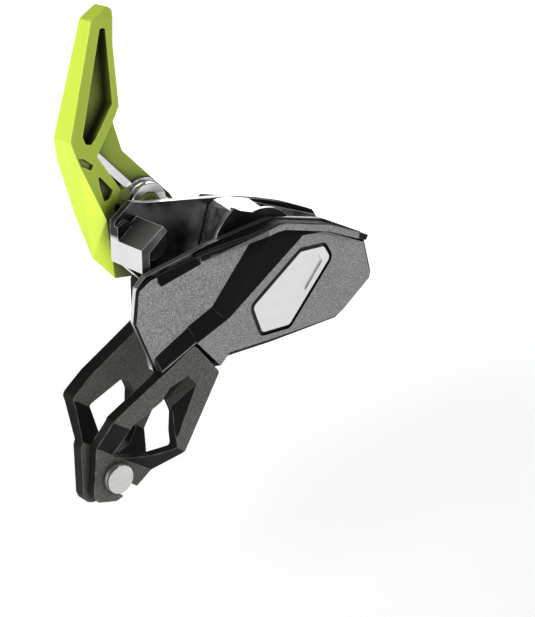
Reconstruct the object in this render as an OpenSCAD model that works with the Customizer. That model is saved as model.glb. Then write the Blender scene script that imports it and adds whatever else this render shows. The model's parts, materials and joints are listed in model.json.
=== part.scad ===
// Assisted-braking belay device, in millimetres. X runs along the body, +Y to the rear, +Z up.
// The origin lies on the axis of the harness stud, midway between the two harness arms.
// Outlines are drawn in the X-Z plane and given their depth along Y.

/* [Rope and harness] */
// Width from the front arm to the rear face of the rear plate
arm_gap = 19.5; // [18:0.5:21]
// Width of the rope channel between the plates
channel_w = 13.8; // [13.4:0.1:14]
// Radius of the cam surface that the rope bends round
drum_r = 16; // [15:0.5:17]
// Radius of the rope guide at the right end
guide_r = 9.6; // [9:0.2:9.8]

/* [Plates and covers] */
// Thickness of the steel rear plate
plate_t = 2.5; // [2:0.1:3]
// Thickness of the inner plate of the front side
front_plate_t = 2; // [1.6:0.1:2]
// Thickness of the harness arms
arm_t = 4; // [3.6:0.1:4.4]
// How far the top lip stands proud of the front cover
lip_h = 1.8; // [0.8:0.1:2]
// Width of the gap between the inset plate and its pocket
inset_gap = 1.4; // [1:0.1:1.6]

/* [Pins] */
// Radius of the spindle that carries the cam and the lever
spindle_r = 4; // [3.5:0.1:4.2]
// Running clearance on the radius of each pin
fit = 0.05; // [0.03:0.01:0.08]
// Radius of the head of the harness stud
stud_head_r = 4.75; // [4.5:0.05:5]
// Radius of the neck that the hook closes round
stud_neck_r = 2.9; // [2.6:0.1:3]
// Radius of the pin that the handle folds on
hinge_r = 3; // [2.8:0.1:3.2]

/* [Handle] */
// Depth of the handle at its tip
tip_depth = 6.5; // [6:0.25:7.5]
// Depth of the handle at its hinge
base_depth = 9.4; // [9:0.2:10]
// Depth of the large pocket in the grip
pocket_depth = 4.4; // [3.5:0.1:5]

/* [Hidden] */
$fn = 64;
// Thickness of the end layers of a raised shape.
ply = 0.2;
// How far a cutting shape reaches past the surface it cuts.
over = 1;
// Longer than the whole part along any axis.
far = 160;
// Gap between the front plate or the rear plate and a piece that ends beside it.
side_gap = 0.4;

// Depth of every layer, from the front (-Y) to the rear (+Y).
arm_inner = arm_gap / 2;
arm_outer = arm_inner + arm_t;
front_y = -arm_outer;
rear_plate_y = arm_inner - plate_t;
front_plate_back = rear_plate_y - channel_w;
front_plate_y = front_plate_back - front_plate_t;
skin_t = 1.8;
skin_y = front_plate_y - skin_t;
lip_y = front_y - lip_h;
tab_y = -5.75;
tab_back = -2.15;
arm_bed = 1.75;
rear_arm_y = arm_inner - arm_bed;
foot_y = -2.05;
foot_back = 2.2;
lever_gap = 0.5;
lever_t = 3;
lever_y = arm_outer + lever_gap;
lever_back = lever_y + lever_t;
core_gap = 0.25;
core_y = lever_back + core_gap;
core_t = 1.5;
cover_wall = 2.2;
pocket_floor = front_y + cover_wall;

// Axes that run along Y, as [x, z].
stud = [0, 0];
axle = [66, 52];
drum = [62, 60];
guide = [98, 47.5];
post = [26, 69];
hub = [32, 79];
handle_boss = [22.5, 84.5];
swing_r = norm(axle - stud);
foot_hole = [19.5, 80.5];
arm_rivet_at = [[29, 52], [30, 41]];
anvil_rivet_at = [91.6, 37.4];
cover_screw_at = [[46, 38], [80, 64]];
front_rivet_at = [[36.5, 37], [44, 43.5]];

// Radii and head sizes of the pins, rivets and screws.
bush_r = spindle_r + 1.5;
clip_r = spindle_r + 2.4;
clip_t = 1;
rivet_r = 2;
rivet_head_r = 3.2;
rivet_head_t = 1.2;
anvil_head_r = 3;
anvil_gap = 1.2;
head_gap = 0.3;
screw_r = 1.5;
screw_head_r = 2.8;
screw_head_t = 1.6;
guide_head_r = 4.7;
guide_head_t = 2;
post_r = 4.4;
post_h = 3;
sleeve_t = 0.6;
sleeve_short = 0.4;
spindle_end = 2;
washer_t = 1.2;
hinge_head_r = 3.9;
hinge_head_t = 1.2;
notch_r = stud_neck_r + 0.35;

// Cam, its spring and its lever.
cam_front = front_plate_back + side_gap;
cam_back = rear_plate_y - side_gap;
flange_t = 1.4;
flange_r = drum_r + 6;
spring_turns = 2;
spring_wire = 0.6;
spring_pitch = 1.6;
spring_r = spindle_r + 2.2;
spring_inset = 1.2;
spring_recess = 4.4;
spring_recess_r = spring_r + 1.3;
lever_boss_r = 9;
lever_hole_r = 2.6;
ring_r = 7;
nut_t = 2.6;
nut_r = 7;

// Handle.
handle_back = lever_y + base_depth;
yoke_y = core_y + core_t;
washer_y = handle_back + 0.2;
washer_r = ring_r - 1.4;
ring_space_r = ring_r + 1.4;
core_ring_r = ring_r + 1;
core_top = [10, 102];
core_foot = [27, 85];
core_w = 2.8;
leg_pocket_depth = 1.8;
slot_depth = 0.9;
boss_proud = 0.2;
foot_hole_r = 1.4;
foot_hole_depth = 3;
taper_from = 100;
taper_to = 134;
tip_top = 145;
tip_edge = 0.8;
tip_slope = 5;

// Ribbed thumb rim of the rear cover.
rib_count = 7;
rib_start = [64.5, 77.2];
rib_step = [3.4, -1.05];
rib_gap_w = 1.4;
rib_gap_h = 3;
rib_gap_sink = 1.2;

// Front side.
tongue_y = front_y + 2.4;
tongue_w = 11;
tongue_from = [28.6, 31];
tongue_to = [48, 46.8];
inset_t = 1.4;
inset_corner_r = 1.8;
inset_proud = 0.1;
seal_y = front_y + inset_t - inset_proud;
seal_t = 0.2;
dimple_depth = 0.5;
bevel_y = front_y + 1.1;
strip_y = front_y + 0.3;
facet_depth = 2.4;
clip_space = 1.2;
clip_back = front_plate_y - side_gap;
lip_plan = [[30, skin_y], [57, lip_y], [98, lip_y], [106, front_y + 0.6]];
seam_w = 1.8;
seam_from = 0.9;
seam_to = 2.1;
recess_depth = 1.4;

// Outlines as [x, z].
cover_outline = [
  [8.5, 62], [13, 64.5], [36, 68], [61, 72], [64.5, 72], [84.5, 67], [103.5, 59], [105.5, 52.5],
  [107.5, 45], [107, 42], [94.5, 33.5], [90, 31.5], [42, 31.5], [39, 30.5], [37.5, 28.5],
  [27.5, 40.5], [14, 34.5], [7, 51.5]
];
raised_low = [
  [54, 67], [37, 49.5], [36, 31], [60, 31], [90, 31.5], [94.5, 33.5], [107, 42], [107.5, 45],
  [103.5, 59], [84.5, 67], [64.5, 72], [57, 71.5]
];
raised_mid = [
  [60.5, 67], [39, 46.5], [38, 32], [60, 31.5], [90, 32], [94, 34], [106.5, 42.5],
  [107, 45], [103, 58.5], [84.5, 66.5], [64.5, 71.5], [61.5, 70]
];
raised_top = [
  [69, 63], [41.5, 45.5], [39.5, 33.5], [60, 33], [89.5, 33], [93.5, 35],
  [105, 43], [105.5, 45], [102, 57], [84, 65], [73.5, 66]
];
shoulder_low = [[27, 45.5], [37, 49.5], [42, 31.5], [39, 30.5], [37.5, 28.5], [27.5, 40.5]];
shoulder_top = [[28, 40.5], [41.5, 45.5], [46, 40], [41, 33], [39, 32], [37.5, 30]];
strip_low = [[27.5, 45.5], [13.5, 38.5], [14, 34.5], [28, 40.5]];
strip_top = [[28, 41], [14, 35], [14, 34.5], [28, 40.5]];
recess_rim = [[15.5, 70], [15.5, 63], [17, 61.5], [33, 65], [31.5, 70]];
recess_foot = [[15.5, 70], [15.5, 66], [31, 68], [31, 70]];
lip_top = [[32, 68], [61, 72.5], [64.5, 72.5], [84.5, 67.5], [104.5, 59]];
lip_bottom = [[103, 57.5], [83.5, 65.5], [64, 70.5], [60, 70.5], [33, 66]];
inset_outline = [[72.5, 60.5], [83, 60], [86, 55.5], [67.5, 36], [55.5, 36.5], [51.5, 46.5]];
dimple_outline = [[73.5, 58], [81, 57.5], [82.5, 55], [74.5, 46]];
front_plate_outline = [
  [9, 62.5], [12.5, 65.5], [37.5, 70], [64, 73], [67, 72.5], [87.5, 67.5], [106, 58.5],
  [106.5, 44.5], [106, 43], [94, 34.5], [89.5, 32.5], [43, 32.5], [30, 33.5],
  [16.5, 32], [14, 33.5], [13, 38.5], [7.5, 51.5]
];
rear_plate_outline = [
  [13, 79], [20, 84], [26, 82.5], [59, 77.5], [76, 71], [99, 62.5], [105, 54], [106.5, 45],
  [94, 34.5], [89.5, 32.5], [38, 32.5], [24, 38], [24, 56], [17, 63], [13, 68.5]
];
end_leg = [[13, 65.5], [13, 73], [21.5, 79], [23, 77], [16, 71.5], [16, 65.5]];
corner_block_t = 4;
corner_block = [[13, 71], [13, 77.5], [16.5, 79], [18.5, 77.5], [17.5, 74.5]];
plate_bed = [[23.5, 80], [23.5, 37.5], [38, 32], [60, 32], [60, 80]];
cam_head_front = [
  [46.5, 64], [49, 78], [53, 77.2], [62, 74.3], [69.5, 70.6], [77.5, 60], [62, 50]
];
cam_head_rear = [
  [46.5, 64], [50.5, 76.5], [52.5, 78], [58.8, 77.6], [67.5, 75.2], [78, 67], [77.5, 60], [62, 50]
];
nose_zone = [[50, 90], [50, 78.5], [60, 72.5], [66, 71], [78, 62.5], [90, 62.5], [90, 90]];
flange_top = [
  [40, 85], [49, 79.5], [53, 77.2], [62, 74.3], [69.5, 70.6], [90, 60], [90, 100], [40, 100]
];
flange_foot = [[50, 10], [110, 10], [110, 59], [50, 59]];
lever_hole_at = [49, 65.5];
anvil_outline = [[86.6, 34.4], [94, 35.4], [97, 36.6], [91, 40.6], [88.2, 44.4], [86.9, 44]];
grip_front = [
  [20.5, 142.5], [18.5, 144], [12.5, 140], [3, 104.5], [5.5, 97.5], [8.5, 94.5],
  [15, 77.5], [19.5, 77], [24.5, 81], [12.5, 98.5], [20, 110], [21.5, 113], [20, 132]
];
grip_rear = [
  [20.5, 142.5], [18.5, 144], [12.5, 140], [3, 104.5], [5, 97.5], [12.5, 78], [15.5, 70],
  [19.5, 65.5], [31.5, 52], [40, 58], [45, 68], [46, 76], [44, 79], [25.5, 97], [21, 111], [20, 132]
];
grip_pocket = [
  [15.5, 137.5], [17.5, 137.5], [19, 114], [12.5, 104.5], [10.5, 102.5], [8.5, 103], [7.5, 105.5]
];
leg_pocket = [[12.5, 92.5], [13.5, 91.5], [18, 86.5], [16.5, 84], [14.5, 83.5], [13, 88.5]];
elbow_slot = [[5.5, 99], [7.5, 98.7], [11, 96], [10, 94.5], [6.5, 96.5]];
flank_front = [[3, 104.5], [5.5, 97.5], [8.5, 94.5], [15, 77.5], [18, 80], [12, 96], [8, 101]];
flank_rear = [
  [3, 104.5], [4, 97], [9.5, 78], [15.5, 62], [24, 53], [31.5, 52], [20, 80], [10, 102]
];
rear_cover_outline = [
  [52, 78.5], [63, 75.5], [77, 72], [88, 68.5], [100, 63.5], [106, 55], [107.5, 45],
  [107, 42], [94.5, 33.5], [90, 31.5], [40, 31.5], [38.5, 36], [40, 52]
];
arm_window = [
  [1, 20], [13.5, 25], [17, 23.5], [19, 18.5], [18.5, 12], [19, 6.5], [12, 4.5], [5, 5], [-1, 7]
];
front_arm_outline = [
  [27, 40], [37, 28], [21.5, 3.5], [14.5, -2.5], [7.5, -7], [5, -7.5], [0, -9], [-7, -7], [-8.5, -4.5],
  [-7, 10], [-5.5, 24]
];
rear_arm_outline = [
  [23, 57], [36, 60], [36.5, 44], [37, 28], [21.5, 3.5], [15, -4], [5, -8], [-6.5, -8.5],
  [-9, -7.5], [-10, -5], [-10, 12], [-5.5, 22], [-5, 24.5], [2, 30], [13.5, 36.5], [23, 42]
];
facet_edge = [[12, 23.5], [16.5, 28.5], [24, 30.5], [27.5, 26.5], [19.5, 11], [17.5, 8]];
facet_foot = [[14, 22], [16.5, 23.2], [18.3, 20]];
notch_zone = [[0, 0], [24, -19], [12, -30], [-12, -14]];

// The direction in which the arms run down to the feet, as an angle in the X-Z plane.
run_angle = -125;
bend_start = -16.3;
front_bend_end = -6;
rear_bend_end = -6;

// An X-Z outline given depth from y0 to y1.
module slab(y0, y1) {
  translate([0, y1, 0])
    rotate([90, 0, 0])
      linear_extrude(y1 - y0)
        children();
}

// An outline with its outer corners rounded, drawn flat.
module soft(r) {
  offset(r = r, $fn = 32)
    offset(delta = -r)
      children();
}

// A cylinder along Y, centred on an [x, z] axis.
module rod(axis, r, y0, y1) {
  translate([axis.x, y1, axis.y])
    rotate([90, 0, 0])
      cylinder(r = r, h = y1 - y0);
}

// A straight strip between two [x, z] points, drawn flat.
module strip(a, b, w) {
  d = b - a;
  translate(a)
    rotate(atan2(d.y, d.x))
      translate([0, -w / 2])
        square([norm(d), w]);
}

// A sheet that steps in depth from one layer to another while it runs down towards the feet.
module joggle(from_y, to_y, from_t, to_t, bend_end) {
  lag = 0.4;
  profile = [
    [-far, from_y], [bend_start, from_y], [bend_end, to_y], [far, to_y],
    [far, to_y + to_t], [bend_end + lag, to_y + to_t], [bend_start + lag, from_y + from_t],
    [-far, from_y + from_t]
  ];
  rotate([0, -run_angle, 0])
    translate([0, 0, -far])
      linear_extrude(2 * far)
        polygon(profile);
}

// Fixed frame

// The end of the plate, folded across the rope channel as a stop for the front side.
module end_tab() {
  slab(front_plate_back + side_gap, arm_inner)
    polygon(end_leg);
  slab(arm_inner - corner_block_t, arm_inner)
    polygon(corner_block);
}

module rear_plate() {
  color([0.62, 0.63, 0.64])
    difference() {
      union() {
        slab(rear_plate_y, arm_inner)
          soft(1.5)
            polygon(rear_plate_outline);
        end_tab();
      }
      rod(axle, bush_r, rear_plate_y - over, arm_inner + over);
      rod(guide, rivet_r, rear_plate_y - over, arm_inner + over);
      rod(post, rivet_r, rear_plate_y - over, arm_inner + over);
      for (p = arm_rivet_at)
        rod(p, rivet_r, rear_plate_y - over, arm_inner + over);
      rod(anvil_rivet_at, rivet_r, rear_plate_y - over, arm_inner + over);
      for (p = cover_screw_at)
        rod(p, screw_r, rear_plate_y - over, arm_inner + over);
    }
}

module rear_cover() {
  color([0.16, 0.16, 0.17])
    difference() {
      slab(arm_inner, arm_outer)
        soft(2)
          polygon(rear_cover_outline);
      rod(axle, bush_r, arm_inner - over, arm_outer + over);
      rod(guide, guide_head_r + head_gap, arm_inner - over, arm_outer + over);
      for (p = cover_screw_at) {
        rod(p, screw_r, arm_inner - over, arm_outer + over);
        rod(p, screw_head_r, arm_outer - screw_head_t, arm_outer + over);
      }
      rod(anvil_rivet_at, anvil_head_r + head_gap, arm_inner - over, arm_outer + over);
      for (i = [0 : rib_count - 1])
        rib_gap(rib_start + i * rib_step);
    }
}

// One groove of the ribbed thumb rim along the top of the rear cover.
module rib_gap(at) {
  translate([at.x, arm_inner + over, at.y])
    rotate([0, atan2(-rib_step.y, rib_step.x), 0])
      translate([-rib_gap_w / 2, 0, -rib_gap_sink])
        cube([rib_gap_w, arm_t, rib_gap_h]);
}

module rear_arm() {
  color([0.27, 0.27, 0.25])
    difference() {
      intersection() {
        slab(foot_y - over, arm_outer + over)
          soft(2)
            polygon(rear_arm_outline);
        joggle(rear_arm_y, foot_y, arm_outer - rear_arm_y, foot_back - foot_y, rear_bend_end);
      }
      slab(rear_arm_y - over, arm_inner)
        polygon(plate_bed);
      slab(foot_y - over, arm_outer + over)
        soft(1.5)
          polygon(arm_window);
      rod(stud, stud_neck_r, foot_y - over, foot_back + over);
      for (p = arm_rivet_at) {
        rod(p, rivet_r, arm_inner - over, arm_outer + over);
        rod(p, rivet_head_r, arm_outer - rivet_head_t, arm_outer + over);
      }
    }
}

module arm_rivets() {
  color([0.78, 0.78, 0.78])
    for (p = arm_rivet_at) {
      rod(p, rivet_r, rear_plate_y, arm_outer - rivet_head_t);
      rod(p, rivet_head_r, arm_outer - rivet_head_t, arm_outer);
    }
}

module cover_screws() {
  color([0.5, 0.5, 0.52])
    for (p = cover_screw_at)
      difference() {
        union() {
          rod(p, screw_r, rear_plate_y, arm_outer - screw_head_t);
          rod(p, screw_head_r, arm_outer - screw_head_t, arm_outer);
        }
        rod(p, screw_r, arm_outer - screw_head_t / 2, arm_outer + over, $fn = 6);
      }
}

module harness_stud() {
  head_front = tab_y - 3;
  head_back = tab_y - 0.2;
  groove_y = head_front + 0.85;
  groove_w = 0.6;
  groove_depth = 0.7;
  riveted_end = 0.4;
  color([0.84, 0.84, 0.82]) {
    rod(stud, stud_head_r, head_front, groove_y);
    rod(stud, stud_head_r - groove_depth, groove_y, groove_y + groove_w);
    rod(stud, stud_head_r, groove_y + groove_w, head_back);
    rod(stud, stud_neck_r, head_back, foot_back + washer_t + riveted_end);
  }
}

module stud_ring() {
  color([0.7, 0.7, 0.7])
    difference() {
      rod(stud, stud_head_r, foot_back, foot_back + washer_t);
      rod(stud, stud_neck_r, foot_back - over, foot_back + washer_t + over);
    }
}

// A post with a shallow saddle all round, which the rope leaves over.
module rope_guide() {
  saddle = 1;
  half = (channel_w - side_gap) / 2;
  bow_r = (half * half + saddle * saddle) / (2 * saddle);
  color([0.75, 0.75, 0.76])
    translate([guide.x, rear_plate_y, guide.y])
      rotate([90, 0, 0])
        rotate_extrude()
          difference() {
            square([guide_r, 2 * half]);
            translate([guide_r + bow_r - saddle, half])
              circle(bow_r);
            square([2 * rivet_r, 4 * half], center = true);
          }
}

module guide_rivet() {
  color([0.8, 0.8, 0.8]) {
    rod(guide, rivet_r, front_plate_back + side_gap, arm_inner);
    rod(guide, guide_head_r, arm_inner, arm_inner + guide_head_t);
  }
}

module wear_anvil() {
  color([0.68, 0.68, 0.7])
    difference() {
      slab(front_plate_back + anvil_gap, rear_plate_y)
        polygon(anvil_outline);
      rod(anvil_rivet_at, rivet_r, front_plate_back, rear_plate_y + over);
    }
}

module anvil_rivet() {
  color([0.8, 0.8, 0.8]) {
    rod(anvil_rivet_at, rivet_r, front_plate_back + anvil_gap, arm_inner);
    rod(anvil_rivet_at, anvil_head_r, arm_inner, arm_inner + rivet_head_t);
  }
}

module stop_post() {
  color([0.12, 0.12, 0.13]) {
    rod(post, post_r, rear_plate_y - post_h, rear_plate_y);
    rod(post, rivet_r, rear_plate_y, arm_inner);
  }
}

module stop_sleeve() {
  color([0.8, 0.8, 0.8])
    difference() {
      rod(post, post_r + sleeve_t, rear_plate_y - post_h + sleeve_short, rear_plate_y);
      rod(post, post_r, rear_plate_y - post_h, rear_plate_y + over);
    }
}

module spindle_bush() {
  color([0.72, 0.6, 0.36])
    difference() {
      rod(axle, bush_r, rear_plate_y, arm_outer);
      rod(axle, spindle_r + fit, rear_plate_y - over, arm_outer + over);
    }
}

// A torsion spring, drawn as its separate turns, in the recess behind the cam.
module cam_spring() {
  color([0.7, 0.7, 0.7])
    for (i = [0 : spring_turns - 1])
      translate([axle.x, rear_plate_y - spring_inset - i * spring_pitch, axle.y])
        rotate([90, 0, 0])
          rotate_extrude()
            translate([spring_r, 0])
              circle(spring_wire, $fn = 24);
}

// Cam and lever

// The thin rim in front of the drum, cut off along its sloping top and above the drum's middle.
module flange() {
  slab(cam_front, cam_front + flange_t)
    difference() {
      translate(drum)
        circle(flange_r);
      polygon(flange_top);
      polygon(flange_foot);
    }
}

// The thick upper part of the cam, which leans over towards the rear plate.
module cam_head() {
  raised([cam_head_front, cam_head_rear], [cam_front, cam_back - ply]);
}

// The part of the head that the hard nose takes up.
module nose_space() {
  slab(cam_front + flange_t, cam_back + over)
    polygon(nose_zone);
}

module cam() {
  color([0.66, 0.66, 0.67])
    difference() {
      union() {
        rod(drum, drum_r, cam_front, cam_back);
        cam_head();
        flange();
      }
      rod(axle, spindle_r, cam_front - over, cam_back + over);
      rod(axle, spring_recess_r, cam_back - spring_recess, cam_back + over);
      nose_space();
    }
}

module cam_nose() {
  color([0.82, 0.82, 0.82])
    intersection() {
      cam_head();
      nose_space();
    }
}

module cam_spindle() {
  color([0.75, 0.75, 0.75])
    rod(axle, spindle_r, front_plate_y - spindle_end, lever_back + spindle_end);
}

module lever() {
  color([0.7, 0.7, 0.71])
    difference() {
      slab(lever_y, lever_back)
        union() {
          translate(axle)
            circle(lever_boss_r);
          translate(hub)
            circle(ring_r);
          strip(hub, axle, 1.5 * ring_r);
        }
      rod(axle, spindle_r, lever_y - over, lever_back + over);
      rod(hub, hinge_r, lever_y - over, lever_back + over);
      rod(hub, hinge_head_r, lever_y - over, lever_y + hinge_head_t);
      rod(lever_hole_at, lever_hole_r, lever_y - over, lever_back + over);
    }
}

module lever_nut() {
  color([0.6, 0.6, 0.6])
    difference() {
      rod(axle, nut_r, lever_back, lever_back + nut_t, $fn = 6);
      rod(axle, spindle_r, lever_back - over, lever_back + spindle_end);
    }
}

module hinge_pin() {
  head_y = lever_y - 0.6;
  dish_y = head_y + 0.4;
  rim_w = 1.1;
  button_r = 2;
  color([0.46, 0.47, 0.4]) {
    difference() {
      rod(hub, hinge_head_r, head_y, lever_y + hinge_head_t);
      rod(hub, hinge_head_r - rim_w, head_y - over, dish_y);
    }
    rod(hub, button_r, head_y + 0.1, dish_y);
    rod(hub, hinge_r, lever_y + hinge_head_t, washer_y + washer_t);
  }
}

module hinge_washer() {
  color([0.72, 0.72, 0.72])
    difference() {
      rod(hub, washer_r, washer_y, washer_y + washer_t);
      rod(hub, hinge_r, washer_y - over, washer_y + washer_t + over);
    }
}

// Handle

module handle() {
  color([0.78, 0.88, 0.25])
    difference() {
      intersection() {
        union() {
          slab(lever_y, yoke_y)
            soft(1.2)
              polygon(grip_front);
          slab(yoke_y, handle_back)
            soft(1.2)
              polygon(grip_rear);
          raised([flank_front, flank_rear], [lever_y, handle_back - ply]);
        }
        depth_profile();
      }
      slab(lever_y - over, lever_y + pocket_depth)
        soft(0.8)
          polygon(grip_pocket);
      slab(lever_y - over, lever_y + leg_pocket_depth)
        soft(0.4)
          polygon(leg_pocket);
      slab(lever_y - over, lever_y + slot_depth)
        polygon(elbow_slot);
      rod(hub, ring_space_r, lever_y - over, yoke_y);
      slab(core_y, yoke_y)
        strip(core_top, core_foot, core_w);
      rod(hub, hinge_r + fit, lever_y - over, handle_back + over);
      rod(handle_boss, rivet_r, lever_y - over, handle_back + over);
      rod(foot_hole, foot_hole_r, lever_y - over, lever_y + foot_hole_depth);
    }
}

// Leaves the handle thinner at the tip than at the hinge, along Y.
module depth_profile() {
  side = [
    [lever_y, 0], [handle_back, 0], [handle_back, taper_from], [lever_y + tip_depth, taper_to],
    [lever_y + tip_depth - tip_edge, tip_top], [lever_y + tip_edge, tip_top], [lever_y, tip_top - tip_slope]
  ];
  rotate([90, 0, 90])
    linear_extrude(far)
      polygon(side);
}

module core_shape() {
  translate(hub)
    circle(core_ring_r);
  strip(core_top, core_foot, core_w);
}

module handle_core() {
  color([0.8, 0.8, 0.8])
    difference() {
      slab(core_y, core_y + core_t)
        core_shape();
      rod(hub, hinge_r + fit, core_y - over, core_y + core_t + over);
      rod(handle_boss, rivet_r, core_y - over, core_y + core_t + over);
    }
}

module handle_rivet() {
  color([0.46, 0.47, 0.4])
    rod(handle_boss, rivet_r, lever_y - boss_proud, handle_back);
}

// Front side, which swings open

// The lip along the top of the cover, with a seam cut along its upper edge.
module lip() {
  intersection() {
    slab(lip_y - over, front_plate_y)
      polygon(concat(lip_top, lip_bottom));
    linear_extrude(far)
      polygon(concat(lip_plan, [[lip_plan[3].x, front_plate_y], [lip_plan[0].x, front_plate_y]]));
  }
}

// The seam follows the lip at a constant depth behind its front.
module lip_seam() {
  behind = [for (p = lip_plan) p + [0, seam_from]];
  further = [for (i = [len(lip_plan) - 1 : -1 : 0]) lip_plan[i] + [0, seam_to]];
  intersection() {
    slab(lip_y, front_plate_y)
      for (i = [0 : len(lip_top) - 2])
        strip(lip_top[i], lip_top[i + 1], seam_w);
    linear_extrude(far)
      polygon(concat(behind, further));
  }
}

// A hull of stacked outlines, each at its own depth.
module raised(outlines, depths) {
  hull()
    for (i = [0 : len(outlines) - 1])
      slab(depths[i], depths[i] + ply)
        polygon(outlines[i]);
}

module inset_shape(grow) {
  offset(r = inset_corner_r + grow, $fn = 32)
    offset(delta = -inset_corner_r)
      polygon(inset_outline);
}

module front_cover() {
  color([0.3, 0.3, 0.3])
    difference() {
      union() {
        slab(skin_y, front_plate_y)
          soft(1.5)
            polygon(cover_outline);
        raised([raised_low, raised_mid, raised_top], [skin_y, bevel_y, front_y]);
        raised([shoulder_low, shoulder_top], [skin_y, front_y]);
        raised([strip_low, strip_top], [skin_y, strip_y]);
        lip();
      }
      slab(front_y - over, seal_y + seal_t)
        inset_shape(inset_gap);
      lip_seam();
      raised([recess_rim, recess_foot], [skin_y - ply, skin_y + recess_depth]);
      rod(axle, clip_r + clip_space, pocket_floor, front_plate_y + over);
      slab(tongue_y, front_plate_y + over)
        tongue_shape(fit);
    }
}

// The part of the front arm that reaches in under the cover.
module tongue_shape(grow) {
  strip(tongue_from, tongue_to, tongue_w + 2 * grow);
}

module front_arm() {
  color([0.27, 0.27, 0.25])
    difference() {
      union() {
        intersection() {
          slab(front_y - over, tab_back + over)
            soft(1.5)
              polygon(front_arm_outline);
          joggle(-arm_outer, tab_y, arm_t, tab_back - tab_y, front_bend_end);
        }
        slab(tongue_y, front_plate_y)
          tongue_shape(0);
      }
      slab(front_y - over, tab_back + over)
        soft(1.5)
          polygon(arm_window);
      raised([facet_edge, facet_foot], [front_y - ply / 2, front_y + facet_depth]);
      slab(front_y - over, tab_back + over)
        notch();
      for (p = front_rivet_at)
        rod(p, rivet_r, tongue_y - over, front_plate_y + over);
    }
}

// The mouth of the hook: the path of the stud neck as the front side swings away.
module notch() {
  translate(stud)
    circle(notch_r);
  intersection() {
    translate(axle)
      difference() {
        circle(swing_r + notch_r, $fn = 180);
        circle(swing_r - notch_r, $fn = 180);
      }
    polygon(notch_zone);
  }
}

module front_rivets() {
  color([0.78, 0.78, 0.78])
    for (p = front_rivet_at)
      rod(p, rivet_r, tongue_y, front_plate_back);
}

module front_plate() {
  color([0.62, 0.62, 0.63])
    difference() {
      slab(front_plate_y, front_plate_back)
        soft(1.5)
          polygon(front_plate_outline);
      rod(axle, spindle_r + fit, front_plate_y - over, front_plate_back + over);
      for (p = front_rivet_at)
        rod(p, rivet_r, front_plate_y - over, front_plate_back + over);
    }
}

module front_inset() {
  color([0.85, 0.85, 0.85])
    difference() {
      slab(front_y - inset_proud, seal_y)
        inset_shape(0);
      slab(front_y - over, front_y + dimple_depth)
        polygon(dimple_outline);
    }
}

module inset_seal() {
  color([0.05, 0.05, 0.05])
    slab(seal_y, seal_y + seal_t)
      inset_shape(inset_gap);
}

module swivel_clip() {
  color([0.6, 0.6, 0.6])
    difference() {
      rod(axle, clip_r, clip_back - clip_t, clip_back);
      rod(axle, spindle_r, front_plate_y - spindle_end, front_plate_y);
    }
}

rear_plate();
rear_cover();
rear_arm();
arm_rivets();
cover_screws();
harness_stud();
stud_ring();
rope_guide();
guide_rivet();
wear_anvil();
anvil_rivet();
stop_post();
stop_sleeve();
spindle_bush();
cam_spring();
cam();
cam_nose();
cam_spindle();
lever();
lever_nut();
hinge_pin();
hinge_washer();
handle();
handle_core();
handle_rivet();
front_plate();
front_cover();
front_arm();
front_rivets();
front_inset();
inset_seal();
swivel_clip();
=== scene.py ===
"""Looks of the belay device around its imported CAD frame: materials, edge finish, light and camera."""

import json
import math

import bpy
from mathutils import Matrix, Vector


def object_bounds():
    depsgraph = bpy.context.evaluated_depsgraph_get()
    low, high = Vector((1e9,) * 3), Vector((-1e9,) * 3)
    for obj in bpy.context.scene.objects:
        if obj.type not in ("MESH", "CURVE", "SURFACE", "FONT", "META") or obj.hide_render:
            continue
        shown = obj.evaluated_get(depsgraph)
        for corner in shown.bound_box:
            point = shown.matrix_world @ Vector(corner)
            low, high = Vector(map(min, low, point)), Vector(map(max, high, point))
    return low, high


MM = 0.001

# Camera: the photograph's viewing direction, and the distance and aim that frame the part as it does.
CAMERA_AZIMUTH = -42.0
CAMERA_ELEVATION = 22.0
CAMERA_LENS = 85.0
CAMERA_SENSOR = 36.0
CAMERA_DISTANCE = 470.0 * MM
CAMERA_AIM = Vector((53.5, -18.5, 46.9)) * MM

# Width of the rounded edge of each CAD node, in millimetres.
EDGE_ROUND = {
    "handle": 1.0,
    "rear_arm": 0.45,
    "front_arm": 0.45,
    "front_cover": 0.3,
    "rear_cover": 0.4,
    "rear_plate": 0.3,
    "cam": 0.35,
    "lever": 0.3,
    "front_inset": 0.3,
    "harness_stud": 0.35,
}
EDGE_ROUND_DEFAULT = 0.15

# Only edges that turn by more than this, in degrees, are rounded.
EDGE_ROUND_ANGLE = 28.0

# Directions in which faces of the part look, in the CAD frame.
TO_FRONT = (0.0, -1.0, 0.0)
TO_REAR = (0.0, 1.0, 0.0)
TO_LEFT = (-1.0, 0.0, 0.0)
UPWARD = (0.0, 0.0, 1.0)
OUT_OF_LIP = (-0.19, -0.98, 0.0)
OUT_OF_FOLD = (-0.58, 0.0, 0.82)
OUT_OF_LOW_FLANK = (-0.48, -0.74, -0.46)

# Places between which a finish changes, in millimetres: along X, along Y and along Z. The lip's speckle
# is the moulding's own; the rim's shine is a painted highlight, and the fold's places bound painted
# shade.
LIP_SPECKLE = (31.0, 41.0)
RIM_SHINE = (28.0, 42.0)
FOLD_SHADE = (-7.0, 6.0)
FOLD_TOP = (73.0, 74.5)

# Levels along Y of a cover's outer face and of a face sunk below it, in millimetres. Faces sunk below
# are painted black as shade.
FRONT_LEVELS = (-10.2, -9.6)
REAR_LEVELS = (13.6, 13.0)

# How closely a surface must face a direction to count as a flat outer face. Faces that turn further away
# are painted black as shade.
FLAT_FACE = (0.997, 0.9999)

WHITE = (1.0, 1.0, 1.0, 1.0)
# Near-black painted into hollows as shade.
HOLLOW_SHADE_BLACK = (0.006, 0.006, 0.006, 1.0)

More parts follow.
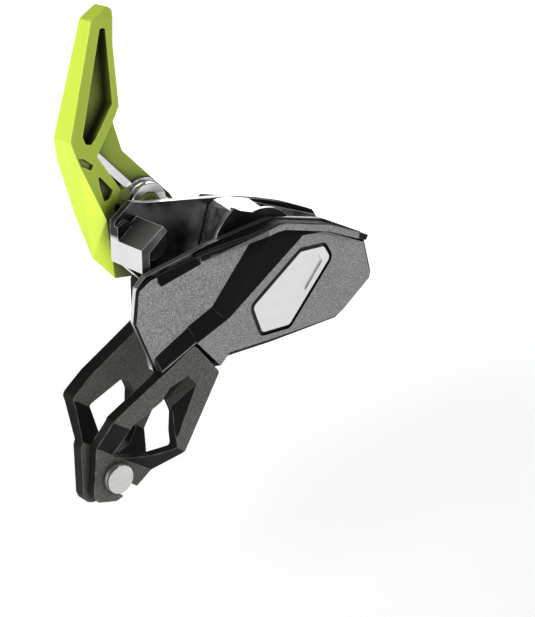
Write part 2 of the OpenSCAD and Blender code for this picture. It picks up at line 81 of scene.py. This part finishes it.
# Place from the part's centre, width and height of each soft box, all in multiples of the part's
# diagonal, and its power in watts.
SOFT_BOXES = {
    "key_left": ((-3.2, -0.4, 0.9), (1.4, 2.2), 3.8),
    "back_right": ((2.6, 2.6, 1.3), (2.4, 1.6), 2.6),
    "front_soft": ((0.9, -3.4, 2.0), (1.6, 1.2), 0.8),
}

# How far the floor lies below the part, in multiples of its diagonal, and its width in metres.
FLOOR_DROP = 0.3
FLOOR_WIDTH = 40.0


class Graph:
    """A short way to write a material's nodes."""

    def __init__(self, name):
        self.material = bpy.data.materials.new(name)
        self.material.use_nodes = True
        self.tree = self.material.node_tree
        self.shader = self.tree.nodes["Principled BSDF"]

    def add(self, kind, inputs=None, **settings):
        node = self.tree.nodes.new(kind)
        for key, value in settings.items():
            setattr(node, key, value)
        for key, value in (inputs or {}).items():
            self.feed(node.inputs[key], value)
        return node

    def feed(self, socket, value):
        if isinstance(value, bpy.types.NodeSocket):
            self.tree.links.new(value, socket)
        else:
            socket.default_value = value

    def place(self):
        return self.add("ShaderNodeTexCoord").outputs["Object"]

    def noise(self, scale, detail, where=None):
        inputs = {"Scale": scale, "Detail": detail, "Vector": where or self.place()}
        return self.add("ShaderNodeTexNoise", inputs).outputs["Fac"]

    def streaks(self, scale, detail, squeeze):
        """Noise drawn out along X."""
        inputs = {"Vector": self.place(), "Scale": (squeeze, 1.0, 1.0)}
        stretch = self.add("ShaderNodeMapping", inputs)
        return self.noise(scale, detail, where=stretch.outputs["Vector"])

    def ramp(self, factor, low, high):
        """0 to 1 while the factor runs from low to high."""
        inputs = {"Value": factor, "From Min": low, "From Max": high}
        return self.add("ShaderNodeMapRange", inputs).outputs["Result"]

    def scaled(self, factor, low, high):
        """Low to high while the factor runs from 0 to 1."""
        inputs = {"Value": factor, "To Min": low, "To Max": high}
        return self.add("ShaderNodeMapRange", inputs).outputs["Result"]

    def mix(self, factor, one, two):
        """From one colour to another; sockets 6 and 7 of the node hold them."""
        inputs = {"Factor": factor, 6: one, 7: two}
        return self.add("ShaderNodeMix", inputs, data_type="RGBA").outputs[2]

    def blend_value(self, factor, one, two):
        """From one number to another; sockets 2 and 3 of the node hold them."""
        inputs = {"Factor": factor, 2: one, 3: two}
        return self.add("ShaderNodeMix", inputs).outputs[0]

    def times(self, one, two):
        return self.add("ShaderNodeMath", {0: one, 1: two}, operation="MULTIPLY").outputs[0]

    def larger(self, one, two):
        return self.add("ShaderNodeMath", {0: one, 1: two}, operation="MAXIMUM").outputs[0]

    def alignment(self, one, two):
        """1 when two directions agree, 0 when they are square to each other."""
        node = self.add("ShaderNodeVectorMath", {0: one, 1: two}, operation="DOT_PRODUCT")
        return node.outputs["Value"]

    def edges(self, radius):
        """1 along convex and concave edges, 0 on flat faces."""
        round_normal = self.add("ShaderNodeBevel", {"Radius": radius}, samples=4).outputs["Normal"]
        flat_normal = self.add("ShaderNodeNewGeometry").outputs["Normal"]
        return self.ramp(self.alignment(round_normal, flat_normal), 0.995, 0.9)

    def hollow_shade(self, distance):
        """How open the surface is, used for painted shade: 1 in the open, falling towards 0 far into
        pockets and seams.
        """
        node = self.add("ShaderNodeAmbientOcclusion", {"Distance": distance}, samples=6)
        return node.outputs["AO"]

    def own_normal(self):
        """Direction of the surface in its own body's frame."""
        return self.add("ShaderNodeTexCoord").outputs["Normal"]

    def facing(self, direction, low, high):
        """0 to 1 as the surface turns to face a direction."""
        return self.ramp(self.alignment(self.own_normal(), direction), low, high)

    def broad_side(self, low, high):
        """0 to 1 as the surface turns flat to the front or to the rear."""
        depth = self.add("ShaderNodeSeparateXYZ", {"Vector": self.own_normal()}).outputs["Y"]
        size = self.add("ShaderNodeMath", {0: depth}, operation="ABSOLUTE")
        return self.ramp(size.outputs["Value"], low, high)

    def along(self, axis, low, high):
        """0 to 1 between two places on an axis of the body, in millimetres."""
        split = self.add("ShaderNodeSeparateXYZ", {"Vector": self.place()})
        return self.ramp(split.outputs[axis], low * MM, high * MM)

    def bump(self, height, strength, distance):
        inputs = {"Height": height, "Strength": strength, "Distance": distance}
        return self.add("ShaderNodeBump", inputs).outputs["Normal"]

    def finish(self, **values):
        """Feeds the shader's inputs and returns the material; an underscore stands for a space."""
        for key, value in values.items():
            self.feed(self.shader.inputs[key.replace("_", " ")], value)
        return self.material


def rgb(red, green, blue):
    return (red, green, blue, 1.0)


def scaled_rgb(colour, factor):
    return rgb(*[factor * value for value in colour[:3]])


def speckled_cover(name, outward, levels, slanted_lip=None):
    """Dark grey moulding with a fine light speckle on its outer faces; elsewhere, without speckle or
    grain, it is painted black as shade.

    A slanted lip gains its speckle along X. Areas sunk below the outer faces get the same painted black
    shade. Edges get a painted highlight, and hollows painted shade.
    """
    g = Graph(name)
    speck = g.ramp(g.noise(4200.0, 1.0), 0.46, 0.7)
    cloud = g.noise(60.0, 3.0)
    base = g.mix(cloud, rgb(0.15, 0.15, 0.153), rgb(0.23, 0.23, 0.233))
    dotted = g.mix(speck, base, rgb(0.55, 0.55, 0.55))
    outer, sunk = levels
    flat = g.times(g.facing(outward, *FLAT_FACE), g.along("Y", sunk, outer))
    if slanted_lip:
        lip = g.times(g.facing(slanted_lip, *FLAT_FACE), g.along("X", *LIP_SPECKLE))
        flat = g.larger(flat, lip)
    # Painted shade: faces that are not flat outer faces, and sunk faces, are painted near-black.
    smooth_painted_shade = g.mix(cloud, rgb(0.006, 0.006, 0.006), rgb(0.012, 0.012, 0.012))
    body = g.mix(flat, smooth_painted_shade, dotted)
    # Painted highlight: edges painted pale grey.
    edge_wear_and_highlight = g.mix(g.times(g.edges(0.35 * MM), 0.3), body, rgb(0.3, 0.3, 0.3))
    # Painted shade: hollows and seams darkened towards near-black.
    colour = g.mix(g.ramp(g.hollow_shade(4.0 * MM), 0.2, 0.85), HOLLOW_SHADE_BLACK, edge_wear_and_highlight)
    return g.finish(
        Base_Color=colour,
        Roughness=g.blend_value(flat, 0.5, g.scaled(speck, 0.45, 0.6)),
        Specular_IOR_Level=0.03,
        Normal=g.bump(g.times(g.noise(4200.0, 2.0), flat), 0.35, 0.08 * MM),
    )


def anodised_arm():
    """Forged alloy, hard anodised: grained olive-grey faces, bevels and sides painted near-black as
    shade, edges worn paler, hollows painted dark as shade.
    """
    g = Graph("anodised_arm")
    grain = g.noise(3400.0, 3.0)
    cloud = g.noise(45.0, 3.0)
    base = g.mix(cloud, rgb(0.068, 0.067, 0.06), rgb(0.11, 0.109, 0.098))
    dotted = g.mix(g.ramp(grain, 0.48, 0.75), base, rgb(0.26, 0.258, 0.235))
    # Painted shade: near-black for bevels and sides that turn away from the front and rear.
    bevel = g.mix(cloud, rgb(0.003, 0.003, 0.003), rgb(0.015, 0.015, 0.014))
    flat = g.broad_side(0.965, 0.995)
    body = g.mix(flat, bevel, dotted)
    edge_wear_and_highlight = g.times(g.edges(0.45 * MM), g.ramp(g.noise(350.0, 2.0), 0.3, 0.6))
    worn = g.mix(g.times(edge_wear_and_highlight, 0.45), body, rgb(0.42, 0.415, 0.39))
    # Painted shade: hollows and seams darkened towards near-black.
    colour = g.mix(g.ramp(g.hollow_shade(8.0 * MM), 0.25, 0.9), rgb(0.006, 0.006, 0.005), worn)
    return g.finish(
        Base_Color=colour,
        Roughness=g.scaled(cloud, 0.42, 0.54),
        Specular_IOR_Level=0.05,
        Normal=g.bump(g.times(grain, flat), 0.3, 0.08 * MM),
    )


def brushed_steel(name, tint, streak_scale, roughness, flank=None, dulled=0.85):
    """Polished steel with faint polishing streaks along X; its front flank may be painted near-black as
    a dark reflection, with a painted highlight on its edges.
    """
    g = Graph(name)
    streak = g.streaks(streak_scale, 4.0, 0.05)
    wear = g.times(streak, g.noise(80.0, 3.0))
    colour = g.mix(g.ramp(wear, 0.12, 0.38), scaled_rgb(tint, dulled), tint)
    if flank:
        # Painted reflection: the front flank painted near-black, mottled a little.
        dark = g.mix(g.ramp(g.noise(130.0, 2.0), 0.4, 0.75), flank, scaled_rgb(flank, 3.0))
        colour = g.mix(g.facing(TO_FRONT, 0.8, 0.95), colour, dark)
        # Painted highlight: edges of the dark flank keep the bright steel colour.
        colour = g.mix(g.edges(0.3 * MM), colour, tint)
    return g.finish(
        Base_Color=colour,
        Metallic=1.0,
        Roughness=g.scaled(wear, *roughness),
        Normal=g.bump(streak, 0.06, 0.05 * MM),
    )


def sheet_steel(name, top_highlight):
    """Sheet steel: front faces painted near-black as a dark reflection, bright ends, and a bent-over
    fold made non-metallic and painted dark as shade.

    The top edge is painted dark as shade, or, with the top highlight set, gets a painted highlight at
    its outer end. Edges get a painted highlight.
    """
    g = Graph(name)
    smear = g.noise(70.0, 3.0)
    streak = g.streaks(500.0, 3.0, 0.1)
    bright = g.mix(smear, rgb(0.66, 0.66, 0.66), rgb(0.8, 0.8, 0.8))
    # Painted reflection: front faces painted near-black, smeared a little.
    dark_front_reflection = g.mix(g.ramp(smear, 0.35, 0.7), rgb(0.01, 0.01, 0.011), rgb(0.13, 0.13, 0.135))
    # Painted shade: the fold darkened, most towards the rear.
    painted_fold_shade = g.mix(g.along("Y", *FOLD_SHADE), rgb(0.09, 0.09, 0.09), rgb(0.012, 0.012, 0.012))
    # Painted shade on faces turned upward; with the top highlight set, a painted highlight at the outer
    # end instead.
    top = rgb(0.05, 0.05, 0.05)
    if top_highlight:
        top = g.mix(g.along("X", *RIM_SHINE), rgb(0.6, 0.6, 0.6), rgb(0.16, 0.16, 0.16))
    # Faces of the fold: painted dark as shade and made non-metallic.
    above_fold = g.times(g.facing(TO_LEFT, 0.6, 0.8), g.along("Z", *FOLD_TOP))
    dull_shaded_fold = g.larger(g.facing(OUT_OF_FOLD, 0.82, 0.93), above_fold)
    colour = g.mix(g.facing(TO_FRONT, 0.75, 0.9), bright, dark_front_reflection)
    colour = g.mix(g.facing(UPWARD, 0.8, 0.9), colour, top)
    colour = g.mix(dull_shaded_fold, colour, painted_fold_shade)
    # Painted highlight: edges painted pale.
    colour = g.mix(g.times(g.edges(0.3 * MM), 0.6), colour, rgb(0.8, 0.8, 0.8))
    return g.finish(
        Base_Color=colour,
        Metallic=g.scaled(dull_shaded_fold, 1.0, 0.0),
        Roughness=g.scaled(g.times(streak, smear), 0.25, 0.5),
        Specular_IOR_Level=0.15,
        Normal=g.bump(streak, 0.05, 0.05 * MM),
    )


def lime_handle():
    """Lime moulding, slightly satin, with fine mould texture; faces turned to the front painted darker
    as shade, the low flank painted paler as light, edges painted paler as a highlight and hollows
    painted dark as shade.
    """
    g = Graph("lime_handle")
    cloud = g.noise(40.0, 3.0)
    base = g.mix(cloud, rgb(0.43, 0.57, 0.03), rgb(0.5, 0.65, 0.043))
    # Painted shade: a darker lime for faces turned to the front.
    front_shade = g.mix(cloud, rgb(0.34, 0.45, 0.026), rgb(0.39, 0.51, 0.034))
    body = g.mix(g.facing(TO_FRONT, 0.85, 0.98), base, front_shade)
    # Painted light: the low flank, facing down and to the left, painted paler.
    body = g.mix(g.facing(OUT_OF_LOW_FLANK, 0.9, 0.98), body, rgb(0.68, 0.89, 0.058))
    # Painted highlight: edges painted paler lime.
    edge_wear_and_highlight = g.mix(g.times(g.edges(0.8 * MM), 0.3), body, rgb(0.72, 0.88, 0.16))
    # Painted shade: hollows darkened towards dark olive.
    colour = g.mix(g.ramp(g.hollow_shade(14.0 * MM), 0.6, 0.84), rgb(0.026, 0.034, 0.004), edge_wear_and_highlight)
    fine = g.noise(2200.0, 2.0)
    return g.finish(
        Base_Color=colour,
        Roughness=g.scaled(fine, 0.38, 0.5),
        Normal=g.bump(fine, 0.12, 0.08 * MM),
    )


def shaded_lime_pin():
    """Moulded lime cap painted dark olive as shade, with a turned grain and painted shade in its
    hollows.
    """
    g = Graph("shaded_lime_pin")
    grain = g.noise(900.0, 2.0)
    # Painted shade: lime plastic coloured dark olive as if in shadow.
    colour = g.mix(grain, rgb(0.1, 0.13, 0.02), rgb(0.16, 0.2, 0.03))
    shaded = g.mix(g.ramp(g.hollow_shade(2.0 * MM), 0.2, 0.9), rgb(0.02, 0.025, 0.004), colour)
    return g.finish(Base_Color=shaded, Roughness=g.scaled(grain, 0.35, 0.5))


def black_trim():
    """Black plastic with a slight moulding grain."""
    g = Graph("black_trim")
    grain = g.noise(1800.0, 2.0)
    colour = g.mix(grain, rgb(0.01, 0.01, 0.01), rgb(0.022, 0.022, 0.023))
    return g.finish(
        Base_Color=colour,
        Roughness=g.scaled(grain, 0.3, 0.42),
        Normal=g.bump(grain, 0.1, 0.05 * MM),
    )


def pale_floor():
    """A pale sweep that glows a little, and more so further away."""
    g = Graph("pale_floor")
    far = g.add("ShaderNodeVectorMath", {0: g.place()}, operation="LENGTH").outputs["Value"]
    limits = {"From Min": 0.1, "From Max": 1.2, "To Min": 0.35, "To Max": 0.92}
    glow = g.add("ShaderNodeMapRange", {"Value": far, **limits}, interpolation_type="SMOOTHSTEP")
    return g.finish(
        Base_Color=g.mix(g.noise(3.0, 2.0), rgb(0.9, 0.9, 0.9), rgb(0.93, 0.93, 0.93)),
        Roughness=0.9,
        Emission_Color=WHITE,
        Emission_Strength=glow.outputs["Result"],
    )


def dress(frame):
    """Gives every CAD node the finish of its slot, or its own, and rounds its edges."""
    finishes = {
        "alloy_plate": sheet_steel("alloy_sheet", top_highlight=False),
        "steel_plate": brushed_steel("plate_steel", rgb(0.75, 0.75, 0.76), 900.0, (0.15, 0.35)),
        "cam_steel": brushed_steel(
            "cam_steel",
            rgb(0.9, 0.9, 0.9),
            420.0,
            (0.3, 0.5),
            # Front flank painted near-black as a dark reflection.
            flank=rgb(0.015, 0.015, 0.016),
            dulled=0.2,
        ),
        "stud_steel": brushed_steel("stud_steel", rgb(0.66, 0.66, 0.63), 700.0, (0.3, 0.42)),
        "cover_plastic": speckled_cover("rear_speckle", TO_REAR, REAR_LEVELS),
        "arm_alloy": anodised_arm(),
        "handle_plastic": lime_handle(),
        "pin_olive": shaded_lime_pin(),
        "black_trim": black_trim(),
        "bush_brass": brushed_steel("bush_bronze", rgb(0.62, 0.42, 0.18), 800.0, (0.25, 0.4)),
    }
    special = {
        "front_cover": speckled_cover("front_speckle", TO_FRONT, FRONT_LEVELS, slanted_lip=OUT_OF_LIP),
        "rear_plate": sheet_steel("folded_sheet", top_highlight=True),
        "front_inset": brushed_steel("inset_plate", rgb(0.8, 0.8, 0.8), 900.0, (0.35, 0.5), dulled=0.94),
        "cam_nose": brushed_steel("nose_steel", rgb(0.72, 0.72, 0.72), 600.0, (0.3, 0.45)),
        "stop_sleeve": brushed_steel("sleeve_steel", rgb(0.16, 0.16, 0.165), 600.0, (0.25, 0.4)),
    }
    slots = {part["node"]: part["material_slot"] for part in frame["record"]["subparts"]}
    for name, node in frame["nodes"].items():
        node.data.materials.clear()
        node.data.materials.append(special.get(name) or finishes[slots[name]])
        round_edges(node, EDGE_ROUND.get(name, EDGE_ROUND_DEFAULT) * MM)


def round_edges(node, width):
    """Joins the faces of a node and rounds its sharp edges."""
    weld = node.modifiers.new("join_faces", "WELD")
    weld.merge_threshold = 0.001 * MM
    bevel = node.modifiers.new("edge_round", "BEVEL")
    bevel.width = width
    bevel.segments = 2
    bevel.limit_method = "ANGLE"
    bevel.angle_limit = math.radians(EDGE_ROUND_ANGLE)
    bevel.use_clamp_overlap = True
    bevel.harden_normals = True


def soft_box(name, place, aim, size, power):
    data = bpy.data.lights.new(name, "AREA")
    data.shape = "RECTANGLE"
    data.size, data.size_y = size
    data.energy = power
    lamp = bpy.data.objects.new(name, data)
    bpy.context.scene.collection.objects.link(lamp)
    lamp.location = place
    lamp.rotation_euler = (aim - place).to_track_quat("-Z", "Y").to_euler()


def floor_at(height):
    bpy.ops.mesh.primitive_plane_add(size=FLOOR_WIDTH, location=(0, 0, height))
    floor = bpy.context.object
    floor.name = "floor"
    floor.data.materials.append(pale_floor())


def dim_room():
    """Surroundings that are darker overhead, so that polished steel has contrast."""
    world = bpy.data.worlds.new("studio")
    bpy.context.scene.world = world
    world.use_nodes = True
    tree = world.node_tree
    place = tree.nodes.new("ShaderNodeTexCoord")
    split = tree.nodes.new("ShaderNodeSeparateXYZ")
    shade = tree.nodes.new("ShaderNodeMapRange")
    background = tree.nodes["Background"]
    tree.links.new(place.outputs["Generated"], split.inputs["Vector"])
    tree.links.new(split.outputs["Z"], shade.inputs["Value"])
    limits = {"From Min": 0.0, "From Max": 0.9, "To Min": 0.4, "To Max": 0.1}
    for socket, value in limits.items():
        shade.inputs[socket].default_value = value
    background.inputs["Color"].default_value = WHITE
    tree.links.new(shade.outputs["Result"], background.inputs["Strength"])


def studio(low, high):
    """A pale floor under soft boxes in a dim room."""
    centre = (low + high) / 2
    size = (high - low).length
    floor_at(low.z - FLOOR_DROP * size)
    for name, (place, span, power) in SOFT_BOXES.items():
        soft_box(name, centre + size * Vector(place), centre, size * Vector(span), power)
    dim_room()


def camera():
    """Looks at the aim from the photograph's direction, upright."""
    data = bpy.data.cameras.new("camera")
    data.lens = CAMERA_LENS
    data.sensor_width = CAMERA_SENSOR
    data.clip_start = 10.0 * MM
    eye = bpy.data.objects.new("camera", data)
    bpy.context.scene.collection.objects.link(eye)
    azimuth = math.radians(CAMERA_AZIMUTH)
    elevation = math.radians(CAMERA_ELEVATION)
    back = Vector((
        math.sin(azimuth) * math.cos(elevation),
        -math.cos(azimuth) * math.cos(elevation),
        math.sin(elevation),
    ))
    right = Vector((math.cos(azimuth), math.sin(azimuth), 0.0))
    up = back.cross(right)
    turn = Matrix((right, up, back)).transposed().to_4x4()
    eye.matrix_world = Matrix.Translation(CAMERA_AIM + CAMERA_DISTANCE * back) @ turn
    bpy.context.scene.camera = eye


with open("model.json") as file:
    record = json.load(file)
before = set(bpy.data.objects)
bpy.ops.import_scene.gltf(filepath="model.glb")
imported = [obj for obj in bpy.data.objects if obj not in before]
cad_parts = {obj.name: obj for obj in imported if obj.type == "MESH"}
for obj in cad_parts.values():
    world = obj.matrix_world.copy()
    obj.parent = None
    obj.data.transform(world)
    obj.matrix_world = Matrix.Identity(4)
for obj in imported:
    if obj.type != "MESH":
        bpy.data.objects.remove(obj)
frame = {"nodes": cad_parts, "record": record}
cad_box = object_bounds()
dress(frame)
studio(Vector(cad_box[0]), Vector(cad_box[1]))
camera()
bpy.context.scene.view_settings.view_transform = "Standard"
